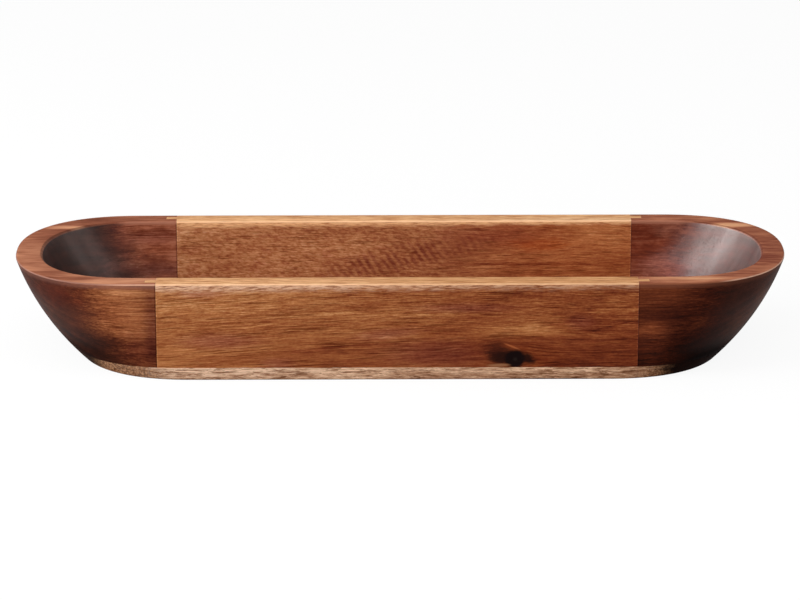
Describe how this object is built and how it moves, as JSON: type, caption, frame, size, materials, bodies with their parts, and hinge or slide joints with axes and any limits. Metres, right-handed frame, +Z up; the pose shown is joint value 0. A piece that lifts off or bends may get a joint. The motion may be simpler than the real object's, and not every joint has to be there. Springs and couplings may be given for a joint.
{
  "type": "dough bowl",
  "caption": "Long wooden dough bowl with straight side boards tongued into rounded, hollowed end blocks, on a flat base board.",
  "frame": {"origin": "centre of the flat underside, on the surface that the bowl stands on", "axes": "+X along the bowl to the right, -Y to the front, +Z up"},
  "size_m": [0.4592, 0.1416, 0.0589],
  "materials": {
    "side_board_wood": "satin oiled hardwood",
    "rear_board_wood": "satin oiled hardwood, rippled figure",
    "left_block_wood": "satin oiled hardwood",
    "right_block_wood": "satin oiled hardwood",
    "base_wood": "satin oiled hardwood"
  },
  "bodies": {
    "root": {"front_side_board": "side_board_wood", "rear_side_board": "rear_board_wood", "left_end_block": "left_block_wood", "right_end_block": "right_block_wood", "base_board": "base_wood"}
  },
  "joints": []
}
